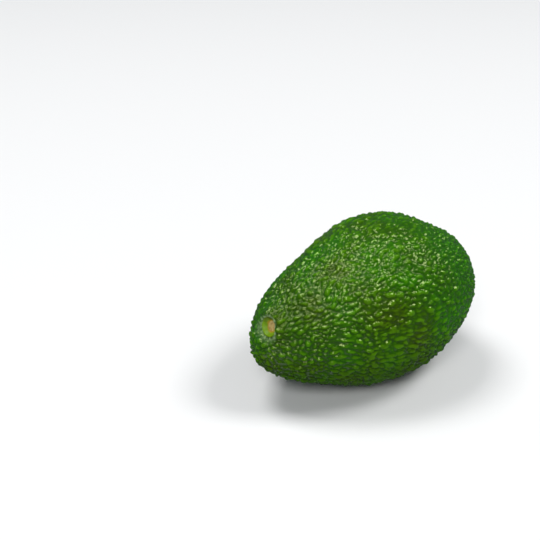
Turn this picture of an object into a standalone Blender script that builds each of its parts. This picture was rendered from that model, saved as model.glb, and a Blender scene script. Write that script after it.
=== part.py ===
"""A whole avocado lying on its side, with the stem button that it was clipped at.

+X runs along the fruit from its stem end to its blossom end, and +Z is up.
The origin is at the middle of the fruit's base, on the small flat spot that it rests on.
Lengths are in metres.
"""

import math

import bmesh
import bpy
from mathutils import Matrix, Vector

MM = 0.001

# The fruit is an egg that narrows towards its stem end.
HALF_LENGTH = 52 * MM
GIRTH_RADIUS = 33.5 * MM
TAPER = 0.20  # share of the girth that moves from the stem half to the blossom half
DRAW_IN = 0.075  # share of the girth that both ends lose
FRUIT_SEGMENTS = 72
FRUIT_RINGS = 44

# The slimmer stem end lies lower, and the fruit's weight presses a small spot flat.
REST_TILT = math.radians(7)
PRESSED_DEPTH = 0.6 * MM

# The stem grows out of the shoulder above the tip, and leans towards the tip.
STEM_POINT = Vector((-45.6 * MM, -3.5 * MM, 11.8 * MM))
STEM_DIRECTION = Vector((-0.88, -0.10, 0.47)).normalized()

# The button is a short plug: a rounded green collar round a sunken corky face. Heights are
# measured along the stem from the skin.
COLLAR_RADIUS = 4.4 * MM
COLLAR_CREST_RADIUS = 3.7 * MM
COLLAR_CREST = -0.8 * MM
FACE_RADIUS = 2.8 * MM
FACE_HEIGHT = -2.0 * MM
PLUG_SHOULDER = -2.3 * MM
PLUG_FOOT_RADIUS = 3.4 * MM
PLUG_FOOT = -5.2 * MM
BUTTON_STEPS = 48

# The socket in the flesh holds the plug with a hair's gap, and opens out into a dimple.
FIT_GAP = 0.3 * MM
MOUTH_HEIGHT = -1.5 * MM
DIMPLE_SPREAD = 1.4  # how much wider the dimple gets for each unit that it rises
SOCKET_TOP = 6 * MM

SKIN_GREEN = (0.055, 0.165, 0.012, 1)
COLLAR_GREEN = (0.22, 0.34, 0.02, 1)

LAID_DOWN = Matrix.Rotation(-REST_TILT, 3, "Y")


def clear_scene():
    for obj in list(bpy.data.objects):
        bpy.data.objects.remove(obj)


def new_collection(name):
    collection = bpy.data.collections.new(name)
    bpy.context.scene.collection.children.link(collection)
    return collection


def new_material(name, colour, roughness):
    material = bpy.data.materials.new(name)
    material.use_nodes = True
    shader = material.node_tree.nodes["Principled BSDF"]
    shader.inputs["Base Color"].default_value = colour
    shader.inputs["Roughness"].default_value = roughness
    shader.inputs["Metallic"].default_value = 0
    return material


def egg_point(unit):
    """Where a point of the unit sphere lies on the fruit's skin, with the long axis level."""
    toward_stem = -unit.x
    girth = GIRTH_RADIUS * (1 - TAPER * toward_stem - DRAW_IN * toward_stem**2)
    return Vector((HALF_LENGTH * unit.x, girth * unit.y, girth * unit.z))


def egg_mesh():
    """The fruit's closed skin, laid down with the middle of its long axis at the origin."""
    shape = bmesh.new()
    bmesh.ops.create_uvsphere(shape, u_segments=FRUIT_SEGMENTS, v_segments=FRUIT_RINGS, radius=1)
    poles_along_x = Matrix.Rotation(math.radians(90), 3, "Y")
    for vert in shape.verts:
        vert.co = LAID_DOWN @ egg_point(poles_along_x @ vert.co)
    return shape


def base_middle(shape):
    """The middle of the box's underside, raised by the depth that is pressed flat."""
    lows = [min(vert.co[i] for vert in shape.verts) for i in range(3)]
    highs = [max(vert.co[i] for vert in shape.verts) for i in range(3)]
    return Vector(((lows[0] + highs[0]) / 2, (lows[1] + highs[1]) / 2, lows[2] + PRESSED_DEPTH))


def press_flat(shape):
    """Cuts off what is below the surface that the fruit lies on, and closes the cut."""
    everything = shape.verts[:] + shape.edges[:] + shape.faces[:]
    cut = bmesh.ops.bisect_plane(
        shape, geom=everything, plane_co=(0, 0, 0), plane_no=(0, 0, -1), clear_outer=True
    )
    rim = [part for part in cut["geom_cut"] if isinstance(part, bmesh.types.BMEdge)]
    bmesh.ops.holes_fill(shape, edges=rim)


def add_object(name, data, collection, material=None):
    obj = bpy.data.objects.new(name, data)
    collection.objects.link(obj)
    if material:
        data.materials.append(material)
    return obj


def add_turned(name, profile, frame, collection, material=None):
    """A solid turned about the stem from (radius, height) points that run from top to bottom."""
    mesh = bpy.data.meshes.new(name)
    points = [(radius, 0, height) for radius, height in profile]
    mesh.from_pydata(points, [(i, i + 1) for i in range(len(points) - 1)], [])
    obj = add_object(name, mesh, collection, material)
    obj.matrix_world = frame
    screw = obj.modifiers.new("turn", "SCREW")
    screw.axis = "Z"
    screw.angle = math.tau
    screw.steps = screw.render_steps = BUTTON_STEPS
    screw.use_merge_vertices = True
    screw.merge_threshold = 0.00001
    screw.use_smooth_shade = False
    return obj


def arc(centre, radius, start, end, steps):
    """Points on an arc in the profile's plane, from one angle in degrees to another."""
    turned = [math.radians(start + (end - start) * i / steps) for i in range(steps + 1)]
    return [(centre[0] + radius * math.cos(a), centre[1] + radius * math.sin(a)) for a in turned]


def button_profile():
    """The sunken face, the rounded collar and the tapered plug, from the top's middle down."""
    crest_round = COLLAR_RADIUS - COLLAR_CREST_RADIUS
    crest_centre = (COLLAR_CREST_RADIUS, COLLAR_CREST - crest_round)
    return [
        (0, FACE_HEIGHT),
        (FACE_RADIUS, FACE_HEIGHT),
        *arc(crest_centre, crest_round, 130, 0, 6),
        (COLLAR_RADIUS, PLUG_SHOULDER),
        (PLUG_FOOT_RADIUS, PLUG_FOOT),
        (0, PLUG_FOOT),
    ]


def socket_profile():
    """The space cut for the plug: straight-sided round it, and opened out into the dimple."""
    wall = COLLAR_RADIUS + FIT_GAP
    return [
        (0, SOCKET_TOP),
        (wall + DIMPLE_SPREAD * (SOCKET_TOP - MOUTH_HEIGHT), SOCKET_TOP),
        (wall, MOUTH_HEIGHT),
        (wall, PLUG_SHOULDER),
        (PLUG_FOOT_RADIUS + FIT_GAP, PLUG_FOOT - FIT_GAP),
        (0, PLUG_FOOT - FIT_GAP),
    ]


def stem_frame(base):
    """Places a turned piece on the stem: its own Z along the stem, its origin at the skin."""
    place = LAID_DOWN @ STEM_POINT - base
    direction = LAID_DOWN @ STEM_DIRECTION
    return Matrix.Translation(place) @ direction.to_track_quat("Z", "Y").to_matrix().to_4x4()


def build():
    clear_scene()
    avocado = new_collection("avocado")
    cutters = new_collection("cutters")

    shape = egg_mesh()
    base = base_middle(shape)
    bmesh.ops.translate(shape, verts=shape.verts, vec=-base)
    press_flat(shape)
    mesh = bpy.data.meshes.new("fruit")
    shape.to_mesh(mesh)
    shape.free()
    mesh.shade_smooth()
    mesh.set_sharp_from_angle(angle=math.radians(30))
    fruit = add_object("fruit", mesh, avocado, new_material("avocado_skin", SKIN_GREEN, 0.35))

    on_stem = stem_frame(base)
    socket = add_turned("socket_cutter", socket_profile(), on_stem, cutters)
    socket.hide_render = True
    socket.display_type = "WIRE"
    cut = fruit.modifiers.new("socket", "BOOLEAN")
    cut.operation = "DIFFERENCE"
    cut.object = socket

    collar_green = new_material("button_collar", COLLAR_GREEN, 0.45)
    add_turned("stem_button", button_profile(), on_stem, avocado, collar_green)


build()
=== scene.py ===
"""An avocado lying on its side: the pebbled fruit, and the stem button that it was clipped at.

Lengths are in metres. +X runs from the stem end to the blossom end, and +Z is up.
"""

import math

import bmesh
import bpy
import numpy as np
from mathutils import Matrix, Vector, kdtree, noise


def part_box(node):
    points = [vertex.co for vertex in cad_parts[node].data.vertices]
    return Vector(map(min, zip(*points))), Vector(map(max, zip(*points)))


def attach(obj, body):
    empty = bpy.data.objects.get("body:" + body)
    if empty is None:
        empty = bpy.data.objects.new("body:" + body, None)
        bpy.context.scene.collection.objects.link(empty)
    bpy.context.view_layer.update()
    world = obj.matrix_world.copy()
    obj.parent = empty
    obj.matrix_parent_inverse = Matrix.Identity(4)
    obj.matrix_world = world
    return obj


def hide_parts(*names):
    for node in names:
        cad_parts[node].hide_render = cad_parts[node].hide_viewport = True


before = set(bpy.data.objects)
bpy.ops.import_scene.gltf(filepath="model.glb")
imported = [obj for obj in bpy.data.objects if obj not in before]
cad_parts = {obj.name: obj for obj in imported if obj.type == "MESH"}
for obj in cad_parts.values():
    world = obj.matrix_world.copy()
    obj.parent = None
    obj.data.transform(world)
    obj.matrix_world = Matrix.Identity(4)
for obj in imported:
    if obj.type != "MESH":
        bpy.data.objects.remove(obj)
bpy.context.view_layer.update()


# ---- The fruit ----
# One piece that grew whole: a thin leathery skin round soft flesh. The skin is set all over with
# rounded warts that are drawn out along the fruit and stand furthest apart round the stem. The
# fruit's own weight presses a small spot flat, and it lies on that.

MM = 0.001
HALF_LENGTH = 52 * MM
GIRTH_RADIUS = 33.5 * MM
TAPER = 0.20  # share of the girth that moves from the stem half to the blossom half
DRAW_IN = 0.075  # share of the girth that both ends lose
REST_TILT = math.radians(7)
PRESSED_DEPTH = 0.6 * MM
SKIN_INSET = 0.6 * MM  # the skin between the warts lies this far inside the fruit's outline

STEM_POINT = np.array((-45.6, -3.5, 11.8)) * MM
STEM_DIRECTION = np.array((-0.88, -0.10, 0.47))

CELLS_ACROSS_SIDE = 98  # of the cube that is rolled up into the fruit
CAP_SHARE = 1 / 6  # of the way from end to end over the skin, for each of the two caps
OUTLINE_STEPS = 2001
EDGE_OF_SIDE = 0.9999


def fruit_radius(turned):
    """The fruit's radius across its long axis, at an angle from the stem end's pole."""
    toward_stem = np.cos(turned)
    return GIRTH_RADIUS * np.sin(turned) * (1 - TAPER * toward_stem - DRAW_IN * toward_stem**2)


def lay_down(points):
    """Lowers the stem end, from a level long axis to the way that the fruit lies."""
    cos, sin = math.cos(REST_TILT), math.sin(REST_TILT)
    x, y, z = points[..., 0], points[..., 1], points[..., 2]
    return np.stack((cos * x - sin * z, y, sin * x + cos * z), -1)


def smooth_step(low, high, value):
    """Runs smoothly from 0 at low to 1 at high, which may be the smaller of the two."""
    share = np.clip((value - low) / (high - low), 0, 1)
    return share * share * (3 - 2 * share)


def get_points(mesh):
    values = np.empty(len(mesh.vertices) * 3, np.float32)
    mesh.vertices.foreach_get("co", values)
    return values.reshape(-1, 3).astype(float)


def set_points(mesh, points):
    mesh.vertices.foreach_set("co", points.astype(np.float32).ravel())
    mesh.update()


def get_normals(mesh):
    values = np.empty(len(mesh.vertices) * 3, np.float32)
    mesh.vertex_normals.foreach_get("vector", values)
    return values.reshape(-1, 3).astype(float)


def noise_at(points, size):
    """Noise from about -1 to 1 at each point, in waves of about that size."""
    return np.array([noise.noise(Vector(point) / size) for point in points])


def noise_shifts(points, size):
    """A wandering direction at each point, in waves of about that size."""
    return np.array([noise.noise_vector(Vector(point) / size) for point in points])


def paint(mesh, name, values):
    """Stores a value for each point, which the material reads by name."""
    attribute = mesh.attributes.new(name, "FLOAT", "POINT")
    attribute.data.foreach_set("value", np.asarray(values, np.float32))


# A cube's faces are divided evenly, and its long sides twice as finely along the fruit.
bpy.ops.object.select_all(action="DESELECT")
bpy.ops.mesh.primitive_cube_add(size=2)
fruit = bpy.context.object
fruit.name = "pebbled_fruit"
bpy.ops.object.mode_set(mode="EDIT")
bpy.ops.mesh.select_all(action="SELECT")
bpy.ops.mesh.subdivide(number_cuts=CELLS_ACROSS_SIDE // 2 - 1)
bpy.ops.mesh.subdivide(number_cuts=1)
bpy.ops.mesh.select_all(action="DESELECT")
shape = bmesh.from_edit_mesh(fruit.data)
for edge in shape.edges:
    span = edge.verts[1].co - edge.verts[0].co
    edge.select = abs(span.x) > 0.5 * span.length
bmesh.update_edit_mesh(fruit.data)
bpy.ops.mesh.subdivide(number_cuts=1)
bpy.ops.object.mode_set(mode="OBJECT")

# The cube is rolled up: its end faces become round caps, and its sides the rings between them,
# a ring to each even step along the skin.
cube = get_points(fruit.data)
square = np.maximum(np.abs(cube[:, 1]), np.abs(cube[:, 2]))
on_y_side = np.abs(cube[:, 1]) >= np.abs(cube[:, 2])
along_side = np.where(on_y_side, cube[:, 2], -cube[:, 1]) / np.maximum(square, 1e-9)
leading = np.where(on_y_side, cube[:, 1], cube[:, 2])
around = np.where(on_y_side, 0, math.pi / 2) + np.where(leading < 0, math.pi, 0)
around = around + np.sign(leading) * along_side * math.pi / 4

turned = np.linspace(0, math.pi, OUTLINE_STEPS)
outline = np.stack((-HALF_LENGTH * np.cos(turned), fruit_radius(turned)), -1)
walked = np.concatenate(([0], np.cumsum(np.linalg.norm(np.diff(outline, axis=0), axis=1))))
on_side = CAP_SHARE + (1 - 2 * CAP_SHARE) * (cube[:, 0] + 1) / 2
on_cap = np.where(cube[:, 0] < 0, CAP_SHARE * square, 1 - CAP_SHARE * square)
walk = np.where(square > EDGE_OF_SIDE, on_side, on_cap) * walked[-1]
at = np.interp(walk, walked, turned)
radius = fruit_radius(at)
level = np.stack((-HALF_LENGTH * np.cos(at), radius * np.cos(around), radius * np.sin(around)), -1)
lying = lay_down(level)

low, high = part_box("fruit")
base = np.array(((low.x + high.x) / 2, (low.y + high.y) / 2, 0))
middle = base - np.array(
    ((lying[:, 0].min() + lying[:, 0].max()) / 2, 0, lying[:, 2].min() + PRESSED_DEPTH)
)
set_points(fruit.data, lying + middle)
stem_at = lay_down(STEM_POINT) + middle
stem_axis = lay_down(STEM_DIRECTION / np.linalg.norm(STEM_DIRECTION))

# Fruit is never quite round. Each swell or hollow has its middle, its spread and its height, in mm.
SWELLS = (
    ((-18, 22, 51), 15, -1.9),  # the side of the neck
    ((36, 6, 61), 13, -2.1),  # the top of the shoulder
    ((-49, 7, 28), 9, -1.0),  # beside the tip
    ((-25, -13, 9), 13, -1.0),  # under the neck
    ((7, 19, 62), 9, 0.5),  # the ridge between neck and shoulder
    ((45, -17, 41), 13, 0.6),  # the blossom end's near side
    ((32, -25, 21), 10, -0.6),  # the belly's near side
)
WAVE_HEIGHT = 0.3 * MM
WAVE_SIZE = 34 * MM

skin = get_points(fruit.data)
swell = WAVE_HEIGHT * noise_at(skin, WAVE_SIZE)
for centre, spread, lift in SWELLS:
    away = np.linalg.norm(skin - np.array(centre) * MM, axis=1)
    swell += lift * MM * np.exp(-((away / (spread * MM)) ** 2))
skin = skin + get_normals(fruit.data) * (swell - SKIN_INSET)[:, None]

# The stem sits in a dimple: a raised lip on the side of the fruit's bulge, a shallow slope that
# runs out towards the tip, and a socket in the middle that the button fills. Reaches are in button
# radii from the stem's axis, and each grows by its second number towards the tip.
BUTTON_RADIUS = 4.4 * MM
COLLAR_LINE = -1.0 * MM  # where the skin meets the collar, along the stem from the fruit's outline
SOCKET_FLOOR = -4.2 * MM
STEM_SIDE = -14 * MM  # skin further than this down the stem's axis is on the fruit's other end
TIPWARD = (0.5, -0.6)  # from the bulge's side, 1, to the tip's side, -1
SLOPE_REACH = (1.5, 0.7)
SLOPE_LIFT = 0.9 * MM  # how much higher the slope ends on the bulge's side
LIP_REACH = 2.1
LIP_HEIGHT = 1.9 * MM
MOUTH_PINCH = 0.20  # how far the lip closes over the socket on the bulge's side
PINCHED_SIDE = (0.2, 0.8)
SOCKET_EDGE = 0.88  # where the socket's wall has reached its floor, as a share of its mouth
BARE_REACH = (1.06, 0.8)  # of the puckered skin that has no warts
PUCKER_WAVES = 4.5
PUCKER_LENGTH = 5 * MM
PUCKER_HEIGHT = 0.45 * MM

from_stem = skin - stem_at
height = from_stem @ stem_axis
off_axis = from_stem - height[:, None] * stem_axis
off_stem = np.linalg.norm(off_axis, axis=1)
to_bulge = np.array((1, 0, 0)) - stem_axis[0] * stem_axis
side = off_axis @ to_bulge / (np.linalg.norm(to_bulge) * np.maximum(off_stem, 1e-6))
this_end = height > STEM_SIDE
tipward = smooth_step(*TIPWARD, side)


def within(reach, growth):
    """1 at the button's edge, falling to 0 at that many button radii."""
    outer = (reach + growth * tipward) * BUTTON_RADIUS
    return (1 - smooth_step(BUTTON_RADIUS, outer, off_stem)) * this_end


lip = smooth_step(LIP_REACH * BUTTON_RADIUS, BUTTON_RADIUS, off_stem) * (1 - tipward) * this_end
height_now = height + LIP_HEIGHT * lip
slope_end = COLLAR_LINE + SLOPE_LIFT * (1 - tipward)
height_now -= within(*SLOPE_REACH) * np.clip(height_now - slope_end, 0, None)
mouth = BUTTON_RADIUS * (1 - MOUTH_PINCH * smooth_step(*PINCHED_SIDE, side))
inside = (1 - smooth_step(SOCKET_EDGE * mouth, mouth, off_stem)) * this_end
height_now += inside * (SOCKET_FLOOR - height_now)
skin = skin + (height_now - height)[:, None] * stem_axis
set_points(fruit.data, skin)
dimpled_normals = get_normals(fruit.data)

bare = within(*BARE_REACH)
across_stem = np.cross(stem_axis, to_bulge / np.linalg.norm(to_bulge))
bearing = np.arctan2(off_axis @ across_stem, side * off_stem)
puckers = np.array([
    noise.noise(Vector((PUCKER_WAVES * math.cos(b), PUCKER_WAVES * math.sin(b), r / PUCKER_LENGTH)))
    if keep else 0
    for b, r, keep in zip(bearing, off_stem, bare > 0)
])
puckers *= bare * (1 - inside)
skin = skin + (PUCKER_HEIGHT * puckers)[:, None] * dimpled_normals

# Warts: places are drawn one by one, big warts first, and each keeps off the ones before it. They
# are drawn in a field where the fruit is squeezed lengthwise and wavy, so that they come out
# drawn-out and uneven on the fruit itself.
WART_SEED = 11
STEM_END = (-40 * MM, -8 * MM)  # where the stem end's skin gives way to the middle's, along X
BLOSSOM_END = (2 * MM, 36 * MM)
BELLY = (42 * MM, 20 * MM)  # where the upper side gives way to the belly, along Z
SQUEEZE, SQUEEZE_MIDWAY, SQUEEZE_BLOSSOM = 1.50, 0.25, 0.25
SQUEEZE_STEPS = 200
WANDER, WANDER_SIZE = 0.60 * MM, 2.2 * MM
DRIFT, DRIFT_SIZE = 2.0 * MM, 14 * MM
WART_RADIUS = 0.86 * MM
BELLY_GROWTH = 0.07 * MM
EVENER_AT_BLOSSOM = 0.5  # share of the belly's growth and of the lengthening lost there
EVENER_AT_STEM = 0.7  # share of the belly's growth lost there
GRADES = ((1.25, 9000), (1.0, 30000), (0.82, 50000), (0.66, 60000))  # sizes, and tries at each
WART_SPREAD = (0.88, 0.24)  # of the sizes in a grade
WART_GAP, STEM_GAP = 0.80, 0.12  # the gap between middles, and what the stem end adds, in radii
SEARCH_CELL = 2.7 * MM  # wider than any gap that is asked for
NO_WARTS = 0.6  # bareness beyond which no wart grows
WART_TALLNESS = (0.72, 0.58)  # a wart's height for its radius, and how much more it may be
LOWER_AT_BLOSSOM, LOWER_AT_STEM, LOWER_WHERE_BARE, HIGHER_ON_BELLY = 0.12, 0.10, 0.7, 0.32
SLANT = 0.45  # how far warts turn away from the fruit's length, in radians
LENGTHENING = (0.05, 0.85)
FOOT = 1.04  # where a wart's dome meets the ground, in its radii
NEIGHBOURS = 6  # warts that may raise one point
MERGING = 6  # higher keeps neighbours' domes apart, lower melts them together
CREASE_HEIGHT, CREASE_SIZE = 0.10 * MM, 1.3 * MM
FULL_RISE = 0.70 * MM  # the height that is painted as 1

stem_end = 1 - smooth_step(*STEM_END, skin[:, 0])
blossom_end = smooth_step(*BLOSSOM_END, skin[:, 0])
midway = (1 - stem_end) * (1 - blossom_end)
drawn_out = SQUEEZE + SQUEEZE_MIDWAY * midway - SQUEEZE_BLOSSOM * blossom_end
steps = np.linspace(skin[:, 0].min(), skin[:, 0].max(), SQUEEZE_STEPS)
in_order = np.argsort(skin[:, 0])
stretch = np.interp(steps, skin[in_order, 0], drawn_out[in_order])
squeezed = np.concatenate(([0], np.cumsum(np.diff(steps) / stretch[1:])))
noise.seed_set(WART_SEED)
field = skin + WANDER * noise_shifts(skin, WANDER_SIZE) + DRIFT * noise_shifts(skin, DRIFT_SIZE)
field[:, 0] = np.interp(field[:, 0], steps, squeezed)

draw = np.random.default_rng(WART_SEED)
belly = smooth_step(*BELLY, skin[:, 2]) * (1 - EVENER_AT_BLOSSOM * blossom_end)
size = WART_RADIUS + BELLY_GROWTH * belly * (1 - EVENER_AT_STEM * stem_end)
placed, places, radii, owners = {}, [], [], []
for grade, tries in GRADES:
    for index in draw.permutation(len(skin))[:tries]:
        if bare[index] > NO_WARTS:
            continue
        spot = field[index]
        own = size[index] * grade * (WART_SPREAD[0] + WART_SPREAD[1] * draw.random())
        box = tuple(np.floor(spot / SEARCH_CELL).astype(int))
        rivals = [
            rival
            for dx in (-1, 0, 1)
            for dy in (-1, 0, 1)
            for dz in (-1, 0, 1)
            for rival in placed.get((box[0] + dx, box[1] + dy, box[2] + dz), ())
        ]
        reach = WART_GAP + STEM_GAP * stem_end[index]
        if all(math.dist(spot, places[r]) > reach * (own + radii[r]) for r in rivals):
            placed.setdefault(box, []).append(len(places))
            places.append(tuple(spot))
            radii.append(own)
            owners.append(index)
radii = np.array(radii)
owners = np.array(owners)
tall = (WART_TALLNESS[0] + WART_TALLNESS[1] * draw.random(len(radii))) * radii
tall *= 1 - LOWER_AT_BLOSSOM * blossom_end[owners] - LOWER_AT_STEM * stem_end[owners]
tall *= (1 - LOWER_WHERE_BARE * bare[owners]) * (1 + HIGHER_ON_BELLY * belly[owners])
tint = draw.random(len(radii))

# Each wart is a dome over an oval of its own, which lies along the fruit or a little aslant.
tree = kdtree.KDTree(len(places))
for index, spot in enumerate(places):
    tree.insert(spot, index)
tree.balance()
nearest = np.empty((len(skin), NEIGHBOURS), int)
apart = np.empty((len(skin), NEIGHBOURS))
for row, spot in enumerate(field):
    for column, (_, index, distance) in enumerate(tree.find_n(spot, NEIGHBOURS)):
        nearest[row, column] = index
        apart[row, column] = distance
wart_normals = dimpled_normals[owners]
lengthwise = np.array((1, 0, 0)) - wart_normals[:, :1] * wart_normals
lengthwise /= np.linalg.norm(lengthwise, axis=1)[:, None] + 1e-6
slant = draw.normal(0, SLANT, len(radii))[:, None]
lengthwise = np.cos(slant) * lengthwise + np.sin(slant) * np.cross(wart_normals, lengthwise)
own_length = LENGTHENING[0] + LENGTHENING[1] * draw.random(len(radii))
longer = 1 + own_length * (1 - EVENER_AT_BLOSSOM * blossom_end[owners])
gap = field[:, None] - np.array(places)[nearest]
lengthways = (gap * lengthwise[nearest]).sum(2)
apart = np.sqrt(apart**2 - (1 - 1 / longer[nearest] ** 2) * lengthways**2)
domes = tall[nearest] * np.clip(1 - (apart / (FOOT * radii[nearest])) ** 2, 0, 1)
rise = (domes**MERGING).sum(1) ** (1 / MERGING) * (1 - inside)
rise += CREASE_HEIGHT * noise_at(skin, CREASE_SIZE) * (1 - inside) * (1 - bare)
skin = skin + dimpled_normals * rise[:, None]
skin[:, 2] = np.maximum(skin[:, 2], 0)
set_points(fruit.data, skin)

# What the finish needs to know of each point of the skin.
LEVEL_PUCKER = 0.5  # the painted value where the puckered skin is neither raised nor sunk
UNDERNEATH = (0.1, -0.7)  # how far the skin faces up, from where a mark starts to where it is full
FACING_DOWN = (0.5, -0.2)
FACING_UP = (0.1, 0.8)
STEM_WEB = (-30 * MM, 12 * MM)  # where the grey web between the warts fades out, along X
TIP_WEB = (-40 * MM, -49 * MM)
TIP_WEB_STRENGTH = 1.6

upward = dimpled_normals[:, 2]
# On the stem half the web is strongest where the skin faces up: real bloom mixed with painted sheen of
# light from above.
web = (1 - smooth_step(*STEM_WEB, skin[:, 0])) * smooth_step(*FACING_UP, upward)
tip_web = TIP_WEB_STRENGTH * smooth_step(*TIP_WEB, skin[:, 0])
paint(fruit.data, "wart", rise / FULL_RISE)
paint(fruit.data, "tint", tint[nearest[:, 0]])
paint(fruit.data, "bare", bare)
paint(fruit.data, "pucker", LEVEL_PUCKER + puckers)
paint(fruit.data, "blossom", blossom_end)
paint(fruit.data, "under", smooth_step(*UNDERNEATH, upward))
paint(fruit.data, "low", smooth_step(*FACING_DOWN, upward))
paint(fruit.data, "web", np.maximum(web, tip_web))
fruit.data.shade_smooth()

# Mottling is the one effect that the skin and the stem share.
mottling = bpy.data.node_groups.new("mottling", "ShaderNodeTree")
mottling_settings = mottling.nodes.new("NodeGroupInput")
mottling_settings.location = (-400, -100)
own_position = mottling.nodes.new("ShaderNodeTexCoord")
own_position.location = (-400, 200)
cloud = mottling.nodes.new("ShaderNodeTexNoise")
mottling_mask = mottling.nodes.new("NodeGroupOutput")
mottling_mask.location = (300, 0)
mottling.links.new(own_position.outputs["Object"], cloud.inputs["Vector"])
for name in ("Scale", "Detail", "Roughness"):
    mottling.interface.new_socket(name, in_out="INPUT", socket_type="NodeSocketFloat")
    mottling.links.new(mottling_settings.outputs[name], cloud.inputs[name])
mottling.interface.new_socket("Mask", in_out="OUTPUT", socket_type="NodeSocketFloat")
mottling.links.new(cloud.outputs["Fac"], mottling_mask.inputs["Mask"])


def add_node(material, kind, place, **inputs):
    """A shader node, with the values of its named inputs."""
    node = material.node_tree.nodes.new(kind)
    node.location = place
    for name, value in inputs.items():
        node.inputs[name.replace("_", " ")].default_value = value
    return node


def join(material, start, end):
    material.node_tree.links.new(start, end)


def read_paint(material, name, place):
    node = add_node(material, "ShaderNodeAttribute", place)
    node.attribute_name = name
    return node.outputs["Fac"]


def mix_colours(material, place, factor, first, second, blend="MIX"):
    """A colour mix; each of the three inputs is a socket or a plain value."""
    node = material.node_tree.nodes.new("ShaderNodeMix")
    node.data_type = "RGBA"
    node.blend_type = blend
    node.location = place
    for socket, value in ((node.inputs[0], factor), (node.inputs[6], first), (node.inputs[7], second)):
        if isinstance(value, bpy.types.NodeSocket):
            join(material, value, socket)
        else:
            socket.default_value = value
    return node.outputs[2]


def remap(material, place, source, span, onto=(0, 1)):
    """Turns one span of values into another, and holds it at the ends."""
    node = add_node(
        material, "ShaderNodeMapRange", place,
        From_Min=span[0], From_Max=span[1], To_Min=onto[0], To_Max=onto[1],
    )
    join(material, source, node.inputs["Value"])
    return node.outputs["Result"]


def combine(material, place, operation, first, second):
    node = material.node_tree.nodes.new("ShaderNodeMath")
    node.operation = operation
    node.location = place
    join(material, first, node.inputs[0])
    join(material, second, node.inputs[1])
    return node.outputs[0]


def mottle(material, place, size, detail=2, roughness=0.5):
    """A mask whose blotches are about that size, on the piece's own coordinates."""
    node = material.node_tree.nodes.new("ShaderNodeGroup")
    node.node_tree = mottling
    node.location = place
    for name, value in (("Scale", 1 / size), ("Detail", detail), ("Roughness", roughness)):
        node.inputs[name].default_value = value
    return node.outputs["Mask"]


def new_finish(name):
    """A material, and the shader that its values go to."""
    material = bpy.data.materials.new(name)
    material.use_nodes = True
    return material, material.node_tree.nodes["Principled BSDF"]


FULL = (0, 1)
SKIN_GREEN = (0.012, 0.094, 0.0005, 1)
SKIN_OLIVE = (0.021, 0.055, 0.0005, 1)
# Painted light: the crown colours are the ground's colours made lighter.
LIT_CROWN_GREEN = (0.024, 0.172, 0.0005, 1)
LIT_CROWN_YELLOW = (0.042, 0.098, 0.0005, 1)
# A painted highlight: pale yellow-green on the tops of the highest warts.
CROWN_HIGHLIGHT = (0.110, 0.290, 0.002, 1)
BLOOM_AND_SHEEN_GREY = (0.150, 0.270, 0.110, 1)
UNDER_REFLECTION_GREY = (0.150, 0.210, 0.140, 1)
PUCKER_PALE = (0.300, 0.430, 0.200, 1)

skin_finish, skin_shader = new_finish("pebbled_green_skin")
skin_shader.inputs["Specular IOR Level"].default_value = 0.52
skin_shader.inputs["Specular Tint"].default_value = (0.85, 1, 0.40, 1)
skin_shader.inputs["Sheen Weight"].default_value = 0.05
skin_shader.inputs["Sheen Roughness"].default_value = 0.35
skin_shader.inputs["Sheen Tint"].default_value = (0.75, 0.92, 1, 1)

# The ground is green, and olive in patches that fade out towards the blossom end. The warts'
# crowns are painted lighter than the ground between them, each by its own amount: painted light
# on the crowns and painted shade in the hollows between the warts. Where they stand highest, a
# painted highlight lightens them further.
PATCH_SIZE = 22 * MM
PATCH_EDGE = (0.33, 0.67)
OLIVE_STEM_TO_BLOSSOM = (1, 0.15)
CROWN_SHADES = (0.75, 1.15)
LIT_CROWN_RISE = (0.3, 1.25)
HIGHLIGHT_RISE = (0.9, 1.5)
HIGHLIGHT_STRENGTH = (0, 0.35)

wart = read_paint(skin_finish, "wart", (-1700, 300))
patches = mottle(skin_finish, (-1700, -300), PATCH_SIZE)
patches = remap(skin_finish, (-1500, -300), patches, PATCH_EDGE)
to_blossom = read_paint(skin_finish, "blossom", (-1700, -500))
to_blossom = remap(skin_finish, (-1500, -500), to_blossom, FULL, OLIVE_STEM_TO_BLOSSOM)
yellowing = combine(skin_finish, (-1300, -400), "MULTIPLY", patches, to_blossom)
ground = mix_colours(skin_finish, (-900, 0), yellowing, SKIN_GREEN, SKIN_OLIVE)
crowns = mix_colours(skin_finish, (-900, 200), yellowing, LIT_CROWN_GREEN, LIT_CROWN_YELLOW)
shade = read_paint(skin_finish, "tint", (-1300, 100))
shade = remap(skin_finish, (-1100, 100), shade, FULL, CROWN_SHADES)
crowns = mix_colours(skin_finish, (-700, 200), 1.0, crowns, shade, "MULTIPLY")
# Painted light and shade: the higher a point stands on a wart, the more of the lighter crown colour.
crown_part = remap(skin_finish, (-1100, 300), wart, LIT_CROWN_RISE)
colour = mix_colours(skin_finish, (-500, 200), crown_part, ground, crowns)
# Painted highlight on the tops of the highest warts.
highlight_part = remap(skin_finish, (-1100, 500), wart, HIGHLIGHT_RISE, HIGHLIGHT_STRENGTH)
colour = mix_colours(skin_finish, (-400, 400), highlight_part, colour, CROWN_HIGHLIGHT)

# A powdery bloom lies in the ground between the warts, most of all on the stem end and the tip.
# On the stem half it is strongest where the skin faces up, and there it is partly a painted sheen
# of light from above. Underneath, the skin is painted darker, as painted shade, and a thinner grey
# web in it is a painted reflection of the pale board.
BLOOM_AND_SHEEN_GROUND = (0.7, 0.1)
BLOOM_AND_SHEEN_SIZE = 6 * MM
BLOOM_AND_SHEEN_EDGE = (0.4, 0.7)
WEB_PAINT = (0, 1.6)
WEB_STRENGTH = (0.05, 0.61)
UNDER_PAINTED_SHADE = (1, 0.5)
THIN_GROUND = (0.65, 0.2)
LOW_REFLECTION = (0, 0.17)
UNDER_MORE_REFLECTION = (0, 0.35)

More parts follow.
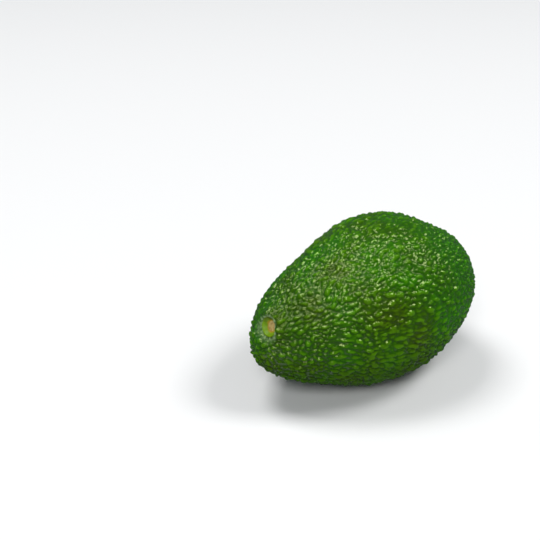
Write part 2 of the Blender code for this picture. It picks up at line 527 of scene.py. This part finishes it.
low_ground = remap(skin_finish, (-1100, -700), wart, BLOOM_AND_SHEEN_GROUND)
powdery = mottle(skin_finish, (-1300, -900), BLOOM_AND_SHEEN_SIZE, detail=3)
powdery = remap(skin_finish, (-1100, -900), powdery, BLOOM_AND_SHEEN_EDGE)
web = read_paint(skin_finish, "web", (-1300, -1100))
web = remap(skin_finish, (-1100, -1100), web, WEB_PAINT, WEB_STRENGTH)
bloom_and_sheen = combine(skin_finish, (-900, -800), "MULTIPLY", low_ground, powdery)
bloom_and_sheen = combine(skin_finish, (-700, -800), "MULTIPLY", bloom_and_sheen, web)
colour = mix_colours(skin_finish, (-300, 200), bloom_and_sheen, colour, BLOOM_AND_SHEEN_GREY)
# Painted shade: the skin is painted darker where it faces down.
under = read_paint(skin_finish, "under", (-1300, -1300))
darker = remap(skin_finish, (-1100, -1300), under, FULL, UNDER_PAINTED_SHADE)
colour = mix_colours(skin_finish, (-250, 300), 1.0, colour, darker, "MULTIPLY")
# Painted reflection of the pale board: a grey web in the ground between the warts, where the skin
# faces down.
thin_ground = remap(skin_finish, (-1100, -1500), wart, THIN_GROUND)
board_reflection = read_paint(skin_finish, "low", (-1300, -1700))
board_reflection = remap(skin_finish, (-1100, -1700), board_reflection, FULL, LOW_REFLECTION)
more = remap(skin_finish, (-900, -1700), under, FULL, UNDER_MORE_REFLECTION)
board_reflection = combine(skin_finish, (-800, -1500), "ADD", board_reflection, more)
painted_reflection = combine(skin_finish, (-700, -1000), "MULTIPLY", thin_ground, board_reflection)
colour = mix_colours(skin_finish, (-200, 300), painted_reflection, colour, UNDER_REFLECTION_GREY)

# The puckered skin round the button is pale and streaky, and palest on its ridges.
ROUND_STEM = (0.1, 0.9)
PUCKER_PAINT = (0.25, 0.75)
RIDGE_PALENESS = (0.3, 0.85)
STREAK_SIZE = 0.9 * MM
STREAK_EDGE = (0.42, 0.58)
STREAK_STRENGTH = (0.25, 1.2)

round_stem = read_paint(skin_finish, "bare", (-900, -300))
round_stem = remap(skin_finish, (-700, -300), round_stem, ROUND_STEM)
puckered = read_paint(skin_finish, "pucker", (-900, -500))
puckered = remap(skin_finish, (-700, -500), puckered, PUCKER_PAINT, RIDGE_PALENESS)
pale_part = combine(skin_finish, (-500, -400), "MULTIPLY", round_stem, puckered)
streaks = mottle(skin_finish, (-900, -1500), STREAK_SIZE, detail=4, roughness=0.7)
streaks = remap(skin_finish, (-700, -1500), streaks, STREAK_EDGE, STREAK_STRENGTH)
pale_part = combine(skin_finish, (-300, -400), "MULTIPLY", pale_part, streaks)
colour = mix_colours(skin_finish, (-100, 200), pale_part, colour, PUCKER_PALE)
join(skin_finish, colour, skin_shader.inputs["Base Color"])

# Crowns are rubbed shinier than the ground. Fine pebbling lies over everything, with finer grain.
GLOSS_RISE = (0.0, 0.8)
GLOSS = (0.28, 0.12)
GRAIN_SIZE = 0.6 * MM
PEBBLE_SIZE = 1.1 * MM

rough = remap(skin_finish, (-500, -100), wart, GLOSS_RISE, GLOSS)
join(skin_finish, rough, skin_shader.inputs["Roughness"])
grain = mottle(skin_finish, (-500, -1100), GRAIN_SIZE, detail=3)
bump = add_node(skin_finish, "ShaderNodeBump", (-300, -900), Strength=0.35, Distance=0.10 * MM)
join(skin_finish, grain, bump.inputs["Height"])
pebble = add_node(skin_finish, "ShaderNodeTexVoronoi", (-700, -1300), Scale=1 / PEBBLE_SIZE)
pebble.feature = "SMOOTH_F1"
pebble.inputs["Smoothness"].default_value = 0.4
where = add_node(skin_finish, "ShaderNodeTexCoord", (-900, -1300))
join(skin_finish, where.outputs["Object"], pebble.inputs["Vector"])
pebbling = add_node(skin_finish, "ShaderNodeBump", (-500, -1300), Strength=0.4, Distance=0.3 * MM)
pebbling.invert = True
join(skin_finish, pebble.outputs["Distance"], pebbling.inputs["Height"])
join(skin_finish, pebbling.outputs["Normal"], bump.inputs["Normal"])
join(skin_finish, bump.outputs["Normal"], skin_shader.inputs["Normal"])
fruit.data.materials.append(skin_finish)

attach(fruit, "root")
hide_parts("fruit")


# ---- The stem button ----
# What is left of the stem after clipping: a short plug, with smooth yellow-green bark rolled into
# a collar round the cut, which has dried to tan cork. It is seated in the fruit's dimple.

COLLAR_SIDES = 48
COLLAR_RADIUS = 4.4 * MM
COLLAR_TOP = -0.7 * MM
PLUG_LENGTH = 3.6 * MM
CUT_STEPS = (  # from the collar's rim to the middle of the cut: each step in, and its drop, in mm
    (0.2, -0.15), (0.25, 0), (0.5, 0.4), (0.55, 0.6), (0.45, 0.6), (0.1, 0.05), (0.5, 0), (0.9, 0),
)
SMOOTHING_LEVELS = 3

bpy.ops.object.select_all(action="DESELECT")
bpy.ops.mesh.primitive_cylinder_add(
    vertices=COLLAR_SIDES, radius=COLLAR_RADIUS, depth=PLUG_LENGTH,
    location=(0, 0, COLLAR_TOP - PLUG_LENGTH / 2),
)
button = bpy.context.object
button.name = "clipped_stem"
bpy.ops.object.transform_apply(location=True, rotation=True, scale=True)
bpy.ops.object.mode_set(mode="EDIT")
bpy.ops.mesh.select_mode(type="FACE")
shape = bmesh.from_edit_mesh(button.data)
for face in shape.faces:
    face.select_set(face.normal.z > 0.9)
bmesh.update_edit_mesh(button.data)
for thickness, drop in CUT_STEPS:
    bpy.ops.mesh.inset(thickness=thickness * MM)
    bpy.ops.transform.translate(value=(0, 0, -drop * MM))
bpy.ops.object.mode_set(mode="OBJECT")
smoothing = button.modifiers.new("smoothing", "SUBSURF")
smoothing.levels = smoothing.render_levels = SMOOTHING_LEVELS
bpy.ops.object.modifier_apply(modifier=smoothing.name)

# The bark is a little out of round, and the cork is crumbly.
CORK_RADII = (2.0 * MM, 2.5 * MM)
CORK_RAGGEDNESS = 0.25 * MM
OUT_OF_ROUND = 0.03
UNEVEN_SIZE = 1.6 * MM
UNEVEN_HEIGHT = 0.10 * MM
CRUMB_SIZE = 0.5 * MM
CRUMB_HEIGHT = 0.10 * MM
WORKED_DEPTH = 2.6 * MM  # of the upper part that is uneven; the plug's foot below it is not seen

made = get_points(button.data)
across = np.hypot(made[:, 0], made[:, 1])
uneven = noise_at(made, UNEVEN_SIZE)
crumbs = noise_at(made, CRUMB_SIZE)
cork = 1 - smooth_step(*CORK_RADII, across + CORK_RAGGEDNESS * uneven)
on_top = made[:, 2] > COLLAR_TOP - WORKED_DEPTH
made[:, 2] += on_top * (UNEVEN_HEIGHT * uneven + CRUMB_HEIGHT * cork * crumbs)
made[:, :2] *= (1 + OUT_OF_ROUND * uneven)[:, None]
set_points(button.data, made)
paint(button.data, "across", across / MM)
upright = Vector(stem_axis).to_track_quat("Z", "Y").to_matrix().to_4x4()
button.data.transform(Matrix.Translation(Vector(stem_at)) @ upright)
paint(button.data, "upper", (get_points(button.data)[:, 2] - stem_at[2]) / COLLAR_RADIUS)
button.data.shade_smooth()

COLLAR_GREEN = (0.160, 0.310, 0.001, 1)
# Painted shade: the collar's upper wall is painted dark olive, where light from above doesn't reach.
COLLAR_SHADED_OLIVE = (0.045, 0.070, 0.001, 1)
CORK_TAN = (0.520, 0.390, 0.140, 1)
CORK_BROWN = (0.300, 0.150, 0.045, 1)
CORK_ORANGE = (0.450, 0.270, 0.020, 1)
EDGE_SIZE, EDGE_SHIFT = 1.2 * MM, (-0.6, 0.6)  # how raggedly cork, cambium and bark meet, in mm
SHADE_EDGE_SIZE, SHADE_EDGE_SHIFT = 2 * MM, (-0.4, 0.4)
SHADED_HEIGHTS = (-0.1, 0.6)  # the bark turns from green to olive between these, in collar radii
FLECK_SIZE, FLECK_EDGE = 0.9 * MM, (0.48, 0.68)
STEM_GRAIN_SIZE = 0.35 * MM
CORK_END = (1.9, 2.3)  # distances from the middle of the cut, in mm
BARK_START = (2.2, 2.8)
CORK_TO_BARK_ROUGHNESS = (0.85, 0.42)

stem_finish, stem_shader = new_finish("clipped_stem_bark_and_cork")
stem_shader.inputs["Specular IOR Level"].default_value = 0.25
edge_shift = mottle(stem_finish, (-1500, 0), EDGE_SIZE)
edge_shift = remap(stem_finish, (-1300, 0), edge_shift, FULL, EDGE_SHIFT)
ragged = read_paint(stem_finish, "across", (-1300, 300))
ragged = combine(stem_finish, (-1100, 300), "ADD", ragged, edge_shift)
# Painted shade: the bark turns from green to olive with height, along a ragged edge.
shade_edge_shift = mottle(stem_finish, (-1500, 700), SHADE_EDGE_SIZE)
shade_edge_shift = remap(stem_finish, (-1300, 700), shade_edge_shift, FULL, SHADE_EDGE_SHIFT)
upper = read_paint(stem_finish, "upper", (-1300, 600))
upper = combine(stem_finish, (-1100, 700), "ADD", upper, shade_edge_shift)
upper = remap(stem_finish, (-900, 700), upper, SHADED_HEIGHTS)
bark = mix_colours(stem_finish, (-700, 600), upper, COLLAR_GREEN, COLLAR_SHADED_OLIVE)
flecks = mottle(stem_finish, (-1100, -500), FLECK_SIZE, detail=4)
flecks = remap(stem_finish, (-900, -500), flecks, FLECK_EDGE)
corky = mix_colours(stem_finish, (-700, -300), flecks, CORK_TAN, CORK_BROWN)
inner = remap(stem_finish, (-900, 300), ragged, CORK_END)
outer = remap(stem_finish, (-900, 500), ragged, BARK_START)
colour = mix_colours(stem_finish, (-500, 200), inner, corky, CORK_ORANGE)
colour = mix_colours(stem_finish, (-300, 200), outer, colour, bark)
join(stem_finish, colour, stem_shader.inputs["Base Color"])
rough = remap(stem_finish, (-600, -200), outer, FULL, CORK_TO_BARK_ROUGHNESS)
join(stem_finish, rough, stem_shader.inputs["Roughness"])
stem_grain = mottle(stem_finish, (-700, -600), STEM_GRAIN_SIZE, detail=4)
stem_bump = add_node(stem_finish, "ShaderNodeBump", (-300, -600), Strength=0.5, Distance=0.1 * MM)
join(stem_finish, stem_grain, stem_bump.inputs["Height"])
join(stem_finish, stem_bump.outputs["Normal"], stem_shader.inputs["Normal"])
button.data.materials.append(stem_finish)

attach(button, "root")
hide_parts("stem_button")


# ---- The surface it lies on ----
# A plain pale board, wide enough to fill the view. It is hidden from the skin's reflections, so
# that the skin keeps its depth of colour.

BOARD_WIDTH = 6
BOARD_GREY = (0.86, 0.86, 0.86, 1)

bpy.ops.object.select_all(action="DESELECT")
bpy.ops.mesh.primitive_plane_add(size=BOARD_WIDTH)
floor = bpy.context.object
floor.name = "floor"
floor_finish, floor_shader = new_finish("pale_board")
floor_shader.inputs["Base Color"].default_value = BOARD_GREY
floor_shader.inputs["Roughness"].default_value = 0.9
floor.data.materials.append(floor_finish)
floor.visible_glossy = False


# ---- Light and camera ----
# A pale room with three soft lamps: one high at the left and a little behind, one at the right,
# and one behind the camera. The camera looks down at the stem end and the near side.

VIEW_AZIMUTH = math.radians(-36.8)
VIEW_ELEVATION = math.radians(31.5)
VIEW_DISTANCE = 431 * MM
LENS_MM = 68.56
SENSOR_MM = 36
NEAREST_SEEN = 10 * MM
FRUIT_SIDEWAYS = 0.0873  # where the fruit's middle sits in the view, as slopes from its centre
FRUIT_BELOW = 0.0324
AIMING_ROUNDS = 12
ROOM_COLOUR = (0.85, 0.93, 1, 1)
ROOM_LIGHT = 0.15
ROOM_GLOSS = 0.12  # how bright the room is in reflections
ROOM_SEEN = 0.85  # how bright it is behind the board
LAMPS = (  # name, place, size in metres, power in watts
    ("window", (-0.45, 0.60, 1.9), 0.8, 20),
    ("fill", (1.00, -0.65, 1.75), 0.7, 21),
    ("front", (-0.95, -1.05, 1.40), 0.6, 15),
)


def aim(obj, place, target):
    """Puts a lamp or camera at a place and turns it to its target."""
    obj.location = place
    obj.rotation_euler = (Vector(target) - Vector(place)).to_track_quat("-Z", "Y").to_euler()


back = Vector((
    math.sin(VIEW_AZIMUTH) * math.cos(VIEW_ELEVATION),
    -math.cos(VIEW_AZIMUTH) * math.cos(VIEW_ELEVATION),
    math.sin(VIEW_ELEVATION),
))
fruit_middle = Vector(middle)
eye = fruit_middle + VIEW_DISTANCE * back
camera = bpy.data.objects.new("camera", bpy.data.cameras.new("camera"))
bpy.context.scene.collection.objects.link(camera)
camera.data.lens = LENS_MM
camera.data.sensor_width = SENSOR_MM
camera.data.clip_start = NEAREST_SEEN
look = -back
for _ in range(AIMING_ROUNDS):
    right = look.cross(Vector((0, 0, 1))).normalized()
    up = right.cross(look)
    sight = fruit_middle - eye
    ahead = sight.dot(look)
    look += right * (sight.dot(right) / ahead - FRUIT_SIDEWAYS)
    look += up * (sight.dot(up) / ahead + FRUIT_BELOW)
    look.normalize()
aim(camera, eye, eye + look)
bpy.context.scene.camera = camera

for name, place, width, power in LAMPS:
    lamp = bpy.data.lights.new(name, "AREA")
    lamp.size = width
    lamp.energy = power
    lamp_object = bpy.data.objects.new(name, lamp)
    bpy.context.scene.collection.objects.link(lamp_object)
    aim(lamp_object, place, fruit_middle)

room = bpy.data.worlds.new("pale_room")
room.use_nodes = True
backdrop = room.node_tree.nodes["Background"]
backdrop.inputs["Color"].default_value = ROOM_COLOUR
ray_kind = room.node_tree.nodes.new("ShaderNodeLightPath")
for_gloss = room.node_tree.nodes.new("ShaderNodeMapRange")
for_gloss.inputs["To Min"].default_value = ROOM_LIGHT
for_gloss.inputs["To Max"].default_value = ROOM_GLOSS
for_camera = room.node_tree.nodes.new("ShaderNodeMapRange")
for_camera.inputs["To Max"].default_value = ROOM_SEEN
room.node_tree.links.new(ray_kind.outputs["Is Glossy Ray"], for_gloss.inputs["Value"])
room.node_tree.links.new(ray_kind.outputs["Is Camera Ray"], for_camera.inputs["Value"])
room.node_tree.links.new(for_gloss.outputs["Result"], for_camera.inputs["To Min"])
room.node_tree.links.new(for_camera.outputs["Result"], backdrop.inputs["Strength"])
bpy.context.scene.world = room
bpy.context.scene.view_settings.view_transform = "Standard"
